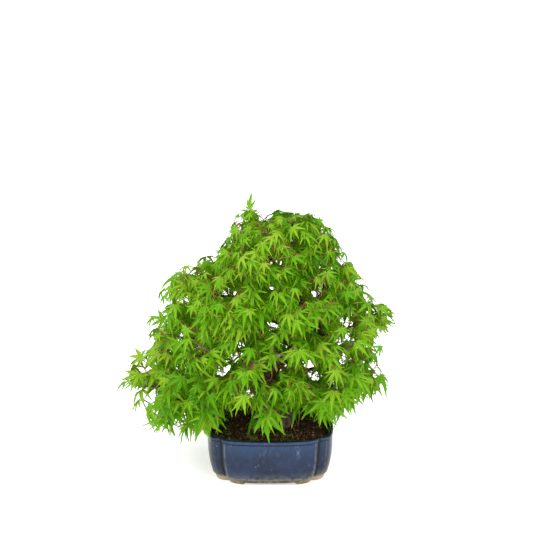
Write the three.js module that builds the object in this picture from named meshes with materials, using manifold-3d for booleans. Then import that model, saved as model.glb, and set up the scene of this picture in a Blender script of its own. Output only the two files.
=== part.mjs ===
// A Japanese maple bonsai in a glazed mokko pot: pot, soil, trunk, boughs and masses of foliage.
// Millimetres, +Z up. The front of the pot faces -Y. The tree is set out round the pot's own axis,
// and the whole plant is then moved so that the origin is the middle of its footprint.
import * as THREE from "three";
import { mergeVertices } from "three/addons/utils/BufferGeometryUtils.js";
import Module from "manifold-3d";

const wasm = await Module();
wasm.setup();

// ---------------------------------------------------------------- driving dimensions

const lobeCount = 4;

const pot = {
  width: 153.5,
  depth: 130,
  height: 61,
  // bulge is how far a lobe swells past the notches beside it. A squareness of 2 is a round lobe,
  // and more is flatter with tighter ends.
  sideLobe: { bulge: 18.5, squareness: 3.4 },
  frontLobe: { bulge: 13.5, squareness: 2.6 },
  lobeSteps: 10,
  wallLevels: [0, 0.12, 0.3, 0.55, 1], // heights of the rings up the outside of the wall
  bellyInset: 7.8, // how far the wall draws in from rim to base
  bellyPower: 3.2,
  lipOut: 0.9,
  lipHeight: 4,
  lipEase: 0.9, // the rounding of the lip's edges
  insideTaper: 6.3, // how far the inside draws in from rim to floor
  wall: 5,
  floor: 7,
};

// The feet stand under the four notches.
const feet = { height: 2.4, setBack: 1.5, thickness: 11, reach: 0.3, steps: 4, sunk: 1 };

const soil = { top: 54, crown: 57, clearance: 0.4, flatAcross: 0.42 };

const trunk = {
  // the middle line, from the soil up through two bends to the tip
  line: [
    [10, 4, soil.crown],
    [0, 4, 92],
    [-1, 3, 121],
    [20, 0, 146],
    [49, -2, 162],
    [55, -2, 181],
    [43, 1, 205],
    [34, 3, 236],
    [35, 4, 268],
    [26, 4, 298],
    [14, 2, 318],
  ],
  foot: 11.2,
  tip: 1.5,
  taper: 0.92,
  flare: 8.5, // extra radius of the root flare at the soil
  flareHeight: 13,
  buttresses: 5,
  buttressDepth: 0.3,
  rings: 20,
  sides: 10,
};

const bough = {
  sides: 6,
  rings: 3,
  arch: 0.1, // how far the middle of a bough rises, as a share of its length
  endShare: 0.45, // the radius at the end, as a share of the radius at the trunk
  sunk: 0.3, // the share of the way to the middle of a mass that a bough stops short
  shortest: 25, // a bough that shows less than this is left out
};

const gap = 0.35; // clearance left between neighbouring solids
const foliage = {
  detail: 2,
  unevenness: 0.15,
  undersideShare: 0.82, // the underside of a mass is flatter than its top
};

// Each tier is a ring of foliage masses. reach is from the pot's axis to the middle of a mass,
// lift raises the masses on that side, and size is half of a mass: outward to the sides, deep to
// the front and back, and around. upward is half its height on that side.
const tiers = [
  {
    name: "low",
    height: 104,
    reach: { right: 98, back: 82, left: 137, front: 76 },
    lift: { right: 6, back: 0, left: -4, front: 12 },
    size: { outward: 51, deep: 39, around: 45 },
    upward: { right: 34, back: 42, left: 54, front: 38 },
    sides: {
      right: 0,
      back_right: 47,
      back: 95,
      back_left: 146,
      left: 180,
      front_left: 221,
      front: 268,
      front_right: 315,
    },
    boughFrom: 0.09,
    boughStep: 0.02,
    boughFoot: 4.6,
  },
  {
    name: "middle",
    height: 167,
    reach: { right: 109, back: 79, left: 99, front: 76 },
    lift: { right: 20, back: -2, left: 3, front: -3 },
    size: { outward: 50, deep: 38, around: 43 },
    upward: { right: 27, back: 38, left: 38, front: 38 },
    sides: {
      right: 4,
      back_right: 50,
      back: 98,
      back_left: 143,
      left: 184,
      front_left: 226,
      front: 272,
      front_right: 316,
    },
    boughFrom: 0.3,
    boughStep: 0.026,
    boughFoot: 3.6,
  },
  {
    name: "upper",
    height: 228,
    reach: { right: 69, back: 60, left: 83, front: 60 },
    lift: { right: 3, back: 0, left: -4, front: -2 },
    size: { outward: 44, deep: 37, around: 42 },
    upward: { right: 36, back: 36, left: 36, front: 36 },
    sides: { right: 5, back_right: 62, back_left: 121, left: 180, front_left: 238, front_right: 300 },
    boughFrom: 0.6,
    boughStep: 0.028,
    boughFoot: 2.7,
  },
  {
    name: "top",
    height: 281,
    reach: { right: 43, back: 36, left: 24, front: 36 },
    lift: { right: 0, back: 0, left: -5, front: -4 },
    size: { outward: 40, deep: 35, around: 38 },
    upward: { right: 32, back: 32, left: 32, front: 32 },
    sides: { right: 0, back: 84, left: 180, front: 262 },
  },
];

// The two masses that close the crown: its cap, and the single shoot that stands above it.
const summit = {
  cap: { centre: [27, 0, 304], size: [37, 36, 25] },
  leader: { centre: [-24, 0, 322], size: [13, 15, 25], detail: 1 },
};

const colours = {
  glaze: 0x35496f,
  soil: 0x2a1c12,
  bark: 0x6a5c4c,
  leaf: 0x4f9a14,
};

const glaze = new THREE.MeshStandardMaterial({ color: colours.glaze, roughness: 0.25, metalness: 0 });
const earth = new THREE.MeshStandardMaterial({ color: colours.soil, roughness: 0.95, metalness: 0 });
const bark = new THREE.MeshStandardMaterial({ color: colours.bark, roughness: 0.85, metalness: 0 });
const leaf = new THREE.MeshStandardMaterial({ color: colours.leaf, roughness: 0.55, metalness: 0 });

// ---------------------------------------------------------------- solids and meshes

function solidOf(geometry) {
  const bare = new THREE.BufferGeometry().setAttribute("position", geometry.getAttribute("position"));
  if (geometry.index) bare.setIndex(geometry.index);
  const merged = mergeVertices(bare, 1e-3);
  const mesh = new wasm.Mesh({
    numProp: 3,
    vertProperties: merged.attributes.position.array,
    triVerts: new Uint32Array(merged.index.array),
  });
  return new wasm.Manifold(mesh);
}

function geometryOf(solid) {
  const mesh = solid.getMesh();
  const geometry = new THREE.BufferGeometry();
  geometry.setAttribute("position", new THREE.BufferAttribute(new Float32Array(mesh.vertProperties), 3));
  geometry.setIndex(new THREE.BufferAttribute(new Uint32Array(mesh.triVerts), 1));
  geometry.computeVertexNormals();
  return geometry;
}

// The largest of the pieces that a cut leaves.
function largest(solid) {
  const pieces = solid.decompose();
  return pieces.reduce((best, piece) => (piece.volume() > best.volume() ? piece : best), pieces[0]);
}

// A closed skin through rings of points that all have the same count, with a fan over each end.
function loft(rings) {
  const count = rings[0].length;
  const middle = (ring) => ring.reduce((sum, p) => sum.add(p), new THREE.Vector3()).divideScalar(count);
  const points = [...rings.flat(), middle(rings[0]), middle(rings.at(-1))];
  const [first, last] = [points.length - 2, points.length - 1];
  const end = (rings.length - 1) * count;
  const faces = [];
  for (let i = 0; i < count; i++) {
    const next = (i + 1) % count;
    faces.push(first, next, i, last, end + i, end + next);
    for (let row = 0; row < end; row += count) {
      faces.push(row + i, row + next, row + count + next);
      faces.push(row + i, row + count + next, row + count + i);
    }
  }
  const geometry = new THREE.BufferGeometry().setFromPoints(points);
  geometry.setIndex(faces);
  return geometry;
}

function named(name, geometry, material) {
  const mesh = new THREE.Mesh(geometry, material);
  mesh.name = name;
  return mesh;
}

// ---------------------------------------------------------------- the pot

// A point of the pot's plan, drawn in by inset. turn runs one unit to a lobe, from 0:
// right, back, left and front, with a notch at each whole number.
function planPoint(turn, inset) {
  const lobe = Math.floor(turn) % lobeCount;
  const swing = (turn - Math.floor(turn) - 0.5) * Math.PI;
  const { bulge, squareness } = lobe % 2 ? pot.frontLobe : pot.sideLobe;
  const power = 2 / squareness;
  const along = Math.sign(swing) * Math.abs(Math.sin(swing)) ** power;
  const out = bulge * Math.max(Math.cos(swing), 0) ** power;
  const notchX = pot.width / 2 - pot.sideLobe.bulge - inset;
  const notchY = pot.depth / 2 - pot.frontLobe.bulge - inset;
  if (lobe === 0) return [notchX + out, notchY * along];
  if (lobe === 1) return [-notchX * along, notchY + out];
  if (lobe === 2) return [-notchX - out, -notchY * along];
  return [notchX * along, -notchY - out];
}

function planRing(inset, z) {
  const steps = lobeCount * pot.lobeSteps;
  return Array.from({ length: steps }, (_, i) => {
    const [x, y] = planPoint(i / pot.lobeSteps, inset);
    return new THREE.Vector3(x, y, z);
  });
}

const wallInset = (z) => pot.lipOut + pot.bellyInset * (1 - z / pot.height) ** pot.bellyPower;
const insideInset = (z) => pot.wall + (pot.insideTaper * (pot.height - z)) / (pot.height - pot.floor);

// One foot: the stretch of the base under a notch, reaching a little way along both lobes.
function foot(notch) {
  const outer = [];
  const inner = [];
  const inset = wallInset(feet.height) + feet.setBack;
  for (let i = -feet.steps; i <= feet.steps; i++) {
    const turn = notch + lobeCount + (feet.reach * i) / feet.steps;
    outer.push(new THREE.Vector2(...planPoint(turn, inset)));
    inner.unshift(new THREE.Vector2(...planPoint(turn, inset + feet.thickness)));
  }
  return new THREE.ExtrudeGeometry(new THREE.Shape([...outer, ...inner]), {
    depth: feet.height + feet.sunk,
    bevelEnabled: false,
  });
}

function potSolid() {
  const lipFoot = pot.height - pot.lipHeight;
  const outside = pot.wallLevels.map((share) => {
    const z = feet.height + share * (lipFoot - feet.height);
    return planRing(wallInset(z), z);
  });
  const lip = [
    planRing(0, lipFoot + pot.lipEase),
    planRing(0, pot.height - pot.lipEase),
    planRing(pot.lipEase, pot.height),
    planRing(pot.wall, pot.height),
  ];
  const inside = planRing(insideInset(pot.floor), pot.floor);
  let solid = solidOf(loft([...outside, ...lip, inside]));
  for (let notch = 0; notch < lobeCount; notch++) solid = solid.add(solidOf(foot(notch)));
  return solid;
}

function soilGeometry() {
  const inset = (z) => insideInset(z) + soil.clearance;
  const bottom = pot.floor + soil.clearance;
  const flat = planRing(inset(soil.top), soil.crown).map(
    (p) => new THREE.Vector3(p.x * soil.flatAcross, p.y * soil.flatAcross, soil.crown),
  );
  return loft([planRing(inset(bottom), bottom), planRing(inset(soil.top), soil.top), flat]);
}

// ---------------------------------------------------------------- trunk and boughs

// A tapering limb along a curve. radius gives its size from the share of the way along and the angle round.
function limb(curve, radius, rings, sides) {
  const frames = curve.computeFrenetFrames(rings);
  return loft(
    Array.from({ length: rings + 1 }, (_, ring) => {
      const share = ring / rings;
      const centre = curve.getPointAt(share);
      return Array.from({ length: sides }, (_, side) => {
        const angle = (2 * Math.PI * side) / sides;
        const size = radius(share, angle);
        return centre
          .clone()
          .addScaledVector(frames.normals[ring], size * Math.cos(angle))
          .addScaledVector(frames.binormals[ring], size * Math.sin(angle));
      });
    }),
  );
}

const trunkCurve = new THREE.CatmullRomCurve3(
  trunk.line.map((p) => new THREE.Vector3(...p)),
  false,
  "centripetal",
);
const trunkLength = trunkCurve.getLength();

function trunkRadius(share) {
  return trunk.tip + (trunk.foot - trunk.tip) * (1 - share) ** trunk.taper;
}

// The trunk, grown by extra all round. The flare swells into buttresses, and its foot is cut flat.
// The cut clears the soil by the gap.
function trunkSolid(extra) {
  const size = (share, angle) => {
    const near = Math.exp(-(((share * trunkLength) / trunk.flareHeight) ** 2));
    const ripple = 1 + trunk.buttressDepth * Math.cos(trunk.buttresses * angle);
    return trunkRadius(share) + trunk.flare * near * ripple + extra;
  };
  const whole = solidOf(limb(trunkCurve, size, trunk.rings, trunk.sides));
  return whole.trimByPlane([0, 0, 1], soil.crown + gap);
}

// A bough that leaves the trunk at a share of its length and rises to the middle of a mass.
function boughSolid(from, towards, footRadius, extra) {
  const start = trunkCurve.getPointAt(from);
  const end = start.clone().lerp(towards, 1 - bough.sunk);
  const middle = start.clone().lerp(end, 0.5);
  middle.z += bough.arch * start.distanceTo(end);
  const curve = new THREE.CatmullRomCurve3([start, middle, end]);
  const size = (share) => footRadius * (1 - (1 - bough.endShare) * share) + extra;
  return solidOf(limb(curve, size, bough.rings, bough.sides));
}

// ---------------------------------------------------------------- foliage

// A closed lump with its own unevenness, flatter beneath, turned to face outward and grown by extra.
function lump({ centre, size, facing, seed, detail }, extra) {
  const geometry = new THREE.IcosahedronGeometry(1, detail ?? foliage.detail);
  const place = geometry.getAttribute("position");
  const turn = new THREE.Matrix4().makeRotationZ(facing);
  const p = new THREE.Vector3();
  for (let i = 0; i < place.count; i++) {
    p.fromBufferAttribute(place, i);
    const wave = Math.sin(3.1 * p.x + seed) * Math.cos(2.7 * p.y + 1.7 * seed);
    const swirl = Math.sin(3.7 * p.z + 2.3 * seed);
    const swell = 1 + (foliage.unevenness * (wave + swirl)) / 2;
    const down = p.z < 0 ? foliage.undersideShare : 1;
    p.set(
      p.x * (size[0] * swell + extra),
      p.y * (size[1] * swell + extra),
      p.z * (size[2] * swell + extra) * down,
    );
    p.applyMatrix4(turn);
    place.setXYZ(i, p.x + centre.x, p.y + centre.y, p.z + centre.z);
  }
  return solidOf(geometry);
}

// How far a mass can reach from its middle in one direction.
function reachOf({ size, facing }, direction) {
  const own = direction.clone().applyAxisAngle(new THREE.Vector3(0, 0, 1), -facing);
  return (1 + foliage.unevenness) * Math.hypot(own.x * size[0], own.y * size[1], own.z * size[2]);
}

// A mass grown by extra all round, cut flat wherever a neighbour would meet it so that the two share
// the room between them.
function massSolid(mass, extra) {
  return masses.reduce((solid, other) => {
    if (other === mass) return solid;
    const direction = other.centre.clone().sub(mass.centre);
    const apart = direction.length();
    direction.divideScalar(apart);
    const [own, theirs] = [reachOf(mass, direction), reachOf(other, direction)];
    if (own + theirs < apart) return solid;
    const meeting = (apart + (own ** 2 - theirs ** 2) / apart) / 2;
    const level = mass.centre.dot(direction) + meeting - gap / 2 + extra;
    return solid.trimByPlane(direction.negate().toArray(), -level);
  }, lump(mass, extra));
}

function tierMasses(tier, tierIndex) {
  return Object.entries(tier.sides).map(([side, degrees], i) => {
    const facing = THREE.MathUtils.degToRad(degrees);
    const [c, s] = [Math.cos(facing), Math.sin(facing)];
    const [xSide, ySide] = [c > 0 ? "right" : "left", s > 0 ? "back" : "front"];
    const blend = (bySide) => bySide[xSide] * c * c + bySide[ySide] * s * s;
    return {
      name: `${tier.name}_${side}`,
      tier,
      order: i,
      centre: new THREE.Vector3(c * tier.reach[xSide], s * tier.reach[ySide], tier.height + blend(tier.lift)),
      size: [Math.hypot(c * tier.size.outward, s * tier.size.deep), tier.size.around, blend(tier.upward)],
      facing,
      seed: 1.3 + 2.1 * i + 0.9 * tierIndex,
    };
  });
}

const masses = [
  ...tiers.flatMap(tierMasses),
  ...Object.entries(summit).map(([name, mass], i) => {
    return { name, ...mass, centre: new THREE.Vector3(...mass.centre), facing: 0, seed: 4 + i };
  }),
];

// ---------------------------------------------------------------- the whole plant

const tree = new THREE.Group();
tree.add(named("pot", geometryOf(potSolid()), glaze));
tree.add(named("soil", soilGeometry(), earth));
tree.add(named("trunk", geometryOf(trunkSolid(0)), bark));

// What is already filled, with its clearance: each solid is cut back from the rooms before it.
const trunkRoom = trunkSolid(gap);
const rooms = [trunkRoom];
for (const mass of masses) {
  const solid = largest(massSolid(mass, 0).subtract(trunkRoom));
  tree.add(named(`foliage_${mass.name}`, geometryOf(solid), leaf));
  rooms.push(massSolid(mass, gap));
}

for (const { name, tier, order, centre } of masses.filter((mass) => mass.tier?.boughFrom)) {
  const from = tier.boughFrom + tier.boughStep * ((order * 3) % Object.keys(tier.sides).length);
  const cut = rooms.reduce((left, room) => left.subtract(room), boughSolid(from, centre, tier.boughFoot, 0));
  if (cut.isEmpty()) continue;
  const solid = largest(cut);
  const box = solid.boundingBox();
  const shown = new THREE.Vector3(...box.max).distanceTo(new THREE.Vector3(...box.min));
  if (shown < bough.shortest) continue;
  tree.add(named(`bough_${name}`, geometryOf(solid), bark));
  rooms.push(boughSolid(from, centre, tier.boughFoot, gap));
}

const footprint = new THREE.Box3().setFromObject(tree);
tree.position.set(-(footprint.min.x + footprint.max.x) / 2, -(footprint.min.y + footprint.max.y) / 2, 0);

const plant = new THREE.Group();
plant.add(tree);
export default plant;
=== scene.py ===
import math
import random

import bpy
import numpy as np
from mathutils import Matrix, Vector, noise
from mathutils.bvhtree import BVHTree


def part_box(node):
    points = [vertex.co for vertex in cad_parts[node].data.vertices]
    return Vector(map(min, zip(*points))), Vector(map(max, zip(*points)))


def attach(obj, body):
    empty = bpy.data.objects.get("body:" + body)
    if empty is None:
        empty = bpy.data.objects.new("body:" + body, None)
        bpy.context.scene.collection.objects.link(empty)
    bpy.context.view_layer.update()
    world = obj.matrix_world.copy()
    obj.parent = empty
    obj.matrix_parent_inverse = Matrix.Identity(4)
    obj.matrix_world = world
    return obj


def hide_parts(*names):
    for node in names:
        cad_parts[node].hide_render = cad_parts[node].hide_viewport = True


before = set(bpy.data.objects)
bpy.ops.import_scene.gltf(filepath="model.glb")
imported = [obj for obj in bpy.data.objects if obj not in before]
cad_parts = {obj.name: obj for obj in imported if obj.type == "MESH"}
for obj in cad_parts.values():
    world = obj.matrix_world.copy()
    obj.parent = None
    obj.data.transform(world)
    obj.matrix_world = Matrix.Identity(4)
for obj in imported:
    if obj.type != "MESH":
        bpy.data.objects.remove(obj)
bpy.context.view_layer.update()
mm = 0.001

# Everything below is set out in millimetres round the pot's own axis, on the surface it stands on.
potLow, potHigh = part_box("pot")
potAxis = np.array([(potLow.x + potHigh.x) / 2, (potLow.y + potHigh.y) / 2, 0])
up = np.array([0.0, 0.0, 1.0])


def unit(v):
    return v / max(np.linalg.norm(v), 1e-9)


def rgb(code):
    # a screen colour such as "4f7a2c" as linear numbers
    parts = [int(code[i : i + 2], 16) / 255 for i in (0, 2, 4)]
    return tuple(p / 12.92 if p < 0.04045 else ((p + 0.055) / 1.055) ** 2.4 for p in parts) + (1.0,)


class Heap:
    # small meshes to be joined into one piece; kinds are the places of their finishes
    def __init__(self, points=(), faces=()):
        self.points, self.faces, self.kinds, self.count = [], [], [], 0
        self.add(points, faces)

    def add(self, points, faces, kinds=0):
        if len(points):
            self.points.append(np.asarray(points))
        self.faces += [tuple(self.count + i for i in face) for face in faces]
        self.kinds += kinds if isinstance(kinds, list) else [kinds] * len(faces)
        self.count += len(points)


def inScene(name, data, place=(0, 0, 0)):
    thing = bpy.data.objects.new(name, data)
    thing.location = place
    bpy.context.scene.collection.objects.link(thing)
    return thing


def makePiece(name, heap, materials, replaces=(), smooth=True):
    mesh = bpy.data.meshes.new(name)
    mesh.from_pydata((np.vstack(heap.points) * mm + potAxis).tolist(), [], heap.faces)
    for material in materials:
        mesh.materials.append(material)
    mesh.polygons.foreach_set("material_index", np.array(heap.kinds, np.int32))
    mesh.polygons.foreach_set("use_smooth", np.full(len(mesh.polygons), smooth))
    mesh.update()
    piece = inScene(name, mesh)
    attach(piece, "root")
    if replaces:
        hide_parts(*replaces)
    return piece


def giveValues(piece, name, values):
    # one number for each point, which a material reads by name
    layer = piece.data.attributes.new(name, "FLOAT", "POINT")
    layer.data.foreach_set("value", np.asarray(values, np.float32))


class Paint:
    # one output of a node; sums on it add Math nodes
    def __init__(self, tree, socket):
        self.tree = tree
        self.socket = socket

    def node(self, kind, settings=None, values=None, out=0):
        made = self.tree.nodes.new("ShaderNode" + kind)
        for key, value in (settings or {}).items():
            setattr(made, key, value)
        for key, value in (values or {}).items():
            if isinstance(value, Paint):
                self.tree.links.new(value.socket, made.inputs[key])
            else:
                made.inputs[key].default_value = value
        return Paint(self.tree, made.outputs[out])

    def maths(self, operation, *values):
        return self.node("Math", {"operation": operation}, dict(enumerate(values)))

    def __add__(self, other):
        return self.maths("ADD", self, other)

    def __sub__(self, other):
        return self.maths("SUBTRACT", self, other)

    def __rsub__(self, other):
        return self.maths("SUBTRACT", other, self)

    def __mul__(self, other):
        return self.maths("MULTIPLY", self, other)

    __radd__ = __add__
    __rmul__ = __mul__

    def __or__(self, other):
        return self.maths("MAXIMUM", self, other)

    def __abs__(self):
        return self.maths("ABSOLUTE", self)

    def mixed(self, under, over):
        # the colour under, covered by over where this is 1
        return self.node("Mix", {"data_type": "RGBA"}, {0: self, 6: under, 7: over}, out=2)

    def ranged(self, low, high):
        # a smooth step from 0 at low to 1 at high
        values = {"Value": self, "From Min": low, "From Max": high}
        return self.node("MapRange", {"interpolation_type": "SMOOTHSTEP"}, values)

    def pattern(self, kind, size, stretch, settings=None, **values):
        # a texture with grains of about size mm, read at this place
        place = self.node("VectorMath", {"operation": "MULTIPLY"}, {0: self, 1: stretch}) if stretch else self
        return self.node(kind, settings, {"Vector": place, "Scale": 1 / (size * mm), **values})

    def noisy(self, size, detail=3.0, rough=0.55, stretch=None):
        return self.pattern("TexNoise", size, stretch, Detail=detail, Roughness=rough)

    def cells(self, size, stretch=None, feature="F1"):
        return self.pattern("TexVoronoi", size, stretch, {"feature": feature})


def newMaterial(name, look=None, **plain):
    # plain values go on the shader's own sockets, and look(place) adds what varies
    material = bpy.data.materials.new(name)
    material.use_nodes = True
    tree = material.node_tree
    shader = tree.nodes["Principled BSDF"]
    for key, value in plain.items():
        shader.inputs[key.replace("_", " ")].default_value = value
    if look:
        start = Paint(tree, None)
        place = start.node("TexCoord", out=3)
        for key, value in look(place).items():
            tree.links.new(value.socket, shader.inputs[key.replace("_", " ")])
    return material


def bumped(height, distance, strength=1.0):
    return height.node("Bump", None, {"Height": height, "Distance": distance * mm, "Strength": strength})


pot = {
    "width": (potHigh.x - potLow.x) / mm,
    "depth": (potHigh.y - potLow.y) / mm,
    "height": (potHigh.z - potLow.z) / mm,
    "lobes": [(18.5, 3.4), (13.5, 2.6)],  # side and front: how far each swells, and how square it is
    "lobeSteps": 64,
    "lipOut": 0.9,
    "lipHeight": 4.0,
    "bellyInset": 7.8,
    "bellyPower": 3.2,
    "bandTop": 7.6,
    "bandInset": 1.5,
    "footHeight": 2.4,
    "footReach": 0.3,
    "footThickness": 11.0,
    "wall": 5.0,
    "insideTaper": 6.3,
    "floor": 7.0,
    "arris": (0.115, 0.014),  # where the glaze thins beside a notch and how widely, as shares of a lobe
    "arrisPaler": (0.45, 0.75),  # how strongly, on the side lobes and on the front and back ones
    "notch": 0.022,  # half the width of the painted shade line in a notch
    "drip": 32.0,  # where a paler run comes down from the lip
}
glazeColours = {
    # deep and bright are tones of the glaze that also serve as painted shade and painted highlight; shade is
    # painted shade
    "deep": rgb("111c34"),
    "slate": rgb("1b2b49"),
    "brightToneAndHighlight": rgb("223e62"),
    # near-black, for painted shade
    "paintedShade": rgb("0f0b08"),
    "thin": rgb("7d8c96"),
    "shade": rgb("0e1930"),
    "worn": rgb("69695a"),
    "clay": rgb("86765c"),
    "clayDark": rgb("4e4032"),
    "cream": rgb("b8ab92"),
}


def planPoint(turn, inset):
    # a point of the four-lobed plan: one unit of turn to a lobe, with a notch at each whole number
    lobe = int(turn // 1) % 4
    swing = (turn % 1 - 0.5) * math.pi
    bulge, squareness = pot["lobes"][lobe % 2]
    along = math.copysign(abs(math.sin(swing)) ** (2 / squareness), swing)
    out = bulge * max(math.cos(swing), 0) ** (2 / squareness)
    x = pot["width"] / 2 - pot["lobes"][0][0] - inset
    y = pot["depth"] / 2 - pot["lobes"][1][0] - inset
    return [(x + out, y * along), (-x * along, y + out), (-x - out, -y * along), (x * along, -y - out)][lobe]


def wallInset(z):
    return pot["lipOut"] + pot["bellyInset"] * (1 - z / pot["height"]) ** pot["bellyPower"]


def insideInset(z):
    return pot["wall"] + pot["insideTaper"] * (pot["height"] - z) / (pot["height"] - pot["floor"])


def loft(rings, closed=True):
    # quads between rings of the same count, and a fan over each end
    count = len(rings[0])
    points = [p for ring in rings for p in ring]
    faces = []
    for row in range(len(rings) - 1):
        a, b = row * count, (row + 1) * count
        for i in range(count):
            j = (i + 1) % count
            faces.append((a + i, a + j, b + j, b + i))
    for row in (0, len(rings) - 1) if closed else ():
        base, middle = row * count, len(points)
        points.append(tuple(np.mean(np.array(rings[row]), axis=0)))
        for i in range(count):
            j = (i + 1) % count
            faces.append((middle, base + i, base + j) if row else (middle, base + j, base + i))
    return points, faces


def wallProfile(lipFoot):
    # heights and insets, from under the foot band up the outside, over the lip and down the inside
    height = pot["height"]
    profile = [(z, wallInset(z) + pot["bandInset"] + e) for z, e in ((2.4, 3.2), (2.6, 0.6), (3.2, 0.1))]
    profile += [(z, wallInset(z) + pot["bandInset"]) for z in (4.6, 6.2)]
    profile += [(pot["bandTop"] + dz, wallInset(pot["bandTop"] + dz) + e) for dz, e in
                ((-0.7, 1.25), (-0.2, 0.65), (0.5, 0.15), (1.4, -0.1), (2.6, -0.1))]
    profile += [(z, wallInset(z)) for z in np.linspace(12, lipFoot - 1.4, 16)]
    profile += [(lipFoot - 0.6, wallInset(lipFoot) + 0.35), (lipFoot, wallInset(lipFoot) + 0.45)]
    for k in range(9):  # the round of the lip
        a = -math.pi / 2 + math.pi * k / 8
        r = pot["lipHeight"] / 2
        profile.append((lipFoot + r + r * math.sin(a), pot["lipOut"] * (1 - math.cos(a))))
    profile += [(height, 2.2), (height, pot["wall"] - 1.2), (height - 0.5, pot["wall"] - 0.2)]
    return profile + [(z, insideInset(z)) for z in (height - 1.5, 56, 50, 40, 20, pot["floor"])]


def peak(value, middle, width):
    return math.exp(-(((value - middle) / width) ** 2))


def glazeThinningAndShade(turn, z, inset, lipFoot):
    # how thin the glaze is at a point of the wall, and how much painted shade darkens it: in the notches,
    # under the lip and on the inside above the soil
    side = min(turn % 1, 1 - turn % 1)
    arris = peak(side, *pot["arris"]) * (9 < z < 56.5) * pot["arrisPaler"][int(turn) % 2]
    foot = peak(z, 8.9, 0.9) * (inset < 12)
    lip = peak(z, 60.2, 0.5) * 0.35
    # painted shade under the overhang of the lip
    under = peak(z, lipFoot - 0.3, 1.0) * (inset < 4)
    # painted shade in the notch
    notch = peak(side, 0, pot["notch"]) * (z > 8)
    # painted shade on the inside of the wall above the soil
    inner = 0.85 * (inset >= 1.5 and z > 50)
    return max(arris, foot, lip), max(under, 0.8 * notch, inner)


def makePot():
    lipFoot = pot["height"] - pot["lipHeight"]
    rings, thin, paintedShading = [], [], []
    for z, inset in wallProfile(lipFoot):
        ring = []
        for i in range(4 * pot["lobeSteps"]):
            turn = i / pot["lobeSteps"]
            x, y = planPoint(turn, inset)
            grow = 1 + 0.0035 * noise.noise(Vector((x, y, z)) * 0.03)  # a hand-pressed wall is not quite even
            ring.append((x * grow, y * grow, z))
            thinHere, shadeHere = glazeThinningAndShade(turn, z, inset, lipFoot)
            thin.append(thinHere)
            paintedShading.append(shadeHere)
        rings.append(ring)
    heap = Heap(*loft(rings))
    inset = wallInset(pot["footHeight"]) + pot["bandInset"]
    for notch in range(4):  # a foot under each notch
        rings = []
        for z, e in ((0, 1.3), (0.25, 0.45), (0.9, 0.1), (2.0, 0), (3.6, 0.2)):
            outer, inner = [], []
            for k in range(-10, 11):
                turn = notch + 4 + (pot["footReach"] - 0.006 * e) * k / 10
                outer.append((*planPoint(turn, inset + e), z))
                inner.insert(0, (*planPoint(turn, inset + pot["footThickness"] - e), z))
            rings.append(outer + inner)
        heap.add(*loft(rings))

    def glazeLook(place):
        z = place.node("SeparateXYZ", None, {0: place}, out=2) * 1000
        x = place.node("SeparateXYZ", None, {0: place}, out=0) * 1000 - potAxis[0] / mm
        thinning = place.node("Attribute", {"attribute_name": "thin"}, out=2)
        paintedShadeAmount = place.node("Attribute", {"attribute_name": "paintedShade"}, out=2)
        cloud = place.noisy(26, 4)
        mottle = place.noisy(5, 5)
        fine = place.noisy(0.8, 2)
        high = z.ranged(34, 60)
        colour = cloud.ranged(0.38, 0.62).mixed(glazeColours["slate"], glazeColours["deep"])
        # painted shade: the wall darkens towards the right, away from the light
        colour = (x.ranged(-20, 75) * 0.3).mixed(colour, glazeColours["deep"])
        # painted highlight: the upper wall is mixed towards the brighter glaze
        colour = (high * 0.8).mixed(colour, glazeColours["brightToneAndHighlight"])
        colour = (mottle.ranged(0.45, 0.75) * 0.35).mixed(colour, glazeColours["brightToneAndHighlight"])
        # painted shade: the side lobes, turned from the light, go darker
        colour = (abs(x).ranged(46, 72) * 0.55).mixed(colour, glazeColours["shade"])
        colour = (z.ranged(21, 7) * mottle.ranged(0.25, 0.6) * 0.5).mixed(colour, glazeColours["worn"])
        drip = abs(x - pot["drip"]).ranged(6, 1) * z.ranged(34, 50)
        streaky = drip * 0.5 | cloud.ranged(0.5, 0.6) * z.ranged(18, 44) * 0.14
        run = place.noisy(2.4, 4, 0.65, (1, 1, 0.3)).ranged(0.48, 0.7) * streaky
        speck = place.cells(8).ranged(0.16, 0.04) * place.noisy(9, 1).ranged(0.5, 0.6) * 0.4
        pale = thinning * mottle.ranged(0.3, 0.65) * 0.55 | run | speck
        colour = pale.mixed(colour, glazeColours["thin"])
        # painted shade: near-black in the notches, under the lip and inside above the soil
        shadeMask = (paintedShadeAmount * 1.25 - mottle * 0.35).ranged(0.25, 0.75)
        colour = shadeMask.mixed(colour, glazeColours["paintedShade"])
        clay = mottle.ranged(0.3, 0.7).mixed(glazeColours["clayDark"], glazeColours["clay"])
        clay = place.cells(2.2).ranged(0.2, 0.0).mixed(clay, glazeColours["clayDark"])
        clay = (abs(x).ranged(30, 64) * 0.75).mixed(clay, glazeColours["cream"])
        clay = (z.ranged(4.5, 7) * mottle.ranged(0.3, 0.55) * 0.6).mixed(clay, glazeColours["clayDark"])
        edge = z + (place.noisy(9, 3) - 0.5) * 4 - abs(x).ranged(50, 66) * 2.5
        glazed = edge.ranged(7.3, 8.0)
        colour = glazed.mixed(clay, colour)
        height = glazed * 0.6 + cloud * 0.5 + mottle * 0.12 + fine * 0.04
        return {
            "Base_Color": colour,
            "Roughness": 0.86 - glazed * 0.56 + mottle * 0.08 + shadeMask * 0.1,
            "Coat_Weight": glazed * (0.16 - shadeMask * 0.1),
            "Normal": bumped(height, 0.5, 0.6),
        }

    glaze = newMaterial("slateBlueGlaze", glazeLook, Coat_Roughness=0.12, Specular_IOR_Level=0.2)
    piece = makePiece("glazedPot", heap, [glaze], replaces=["pot"])
    for name, values in (("thin", thin), ("paintedShade", paintedShading)):
        giveValues(piece, name, values + [0] * (heap.count - len(values)))


makePot()
print("pot made")

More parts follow.
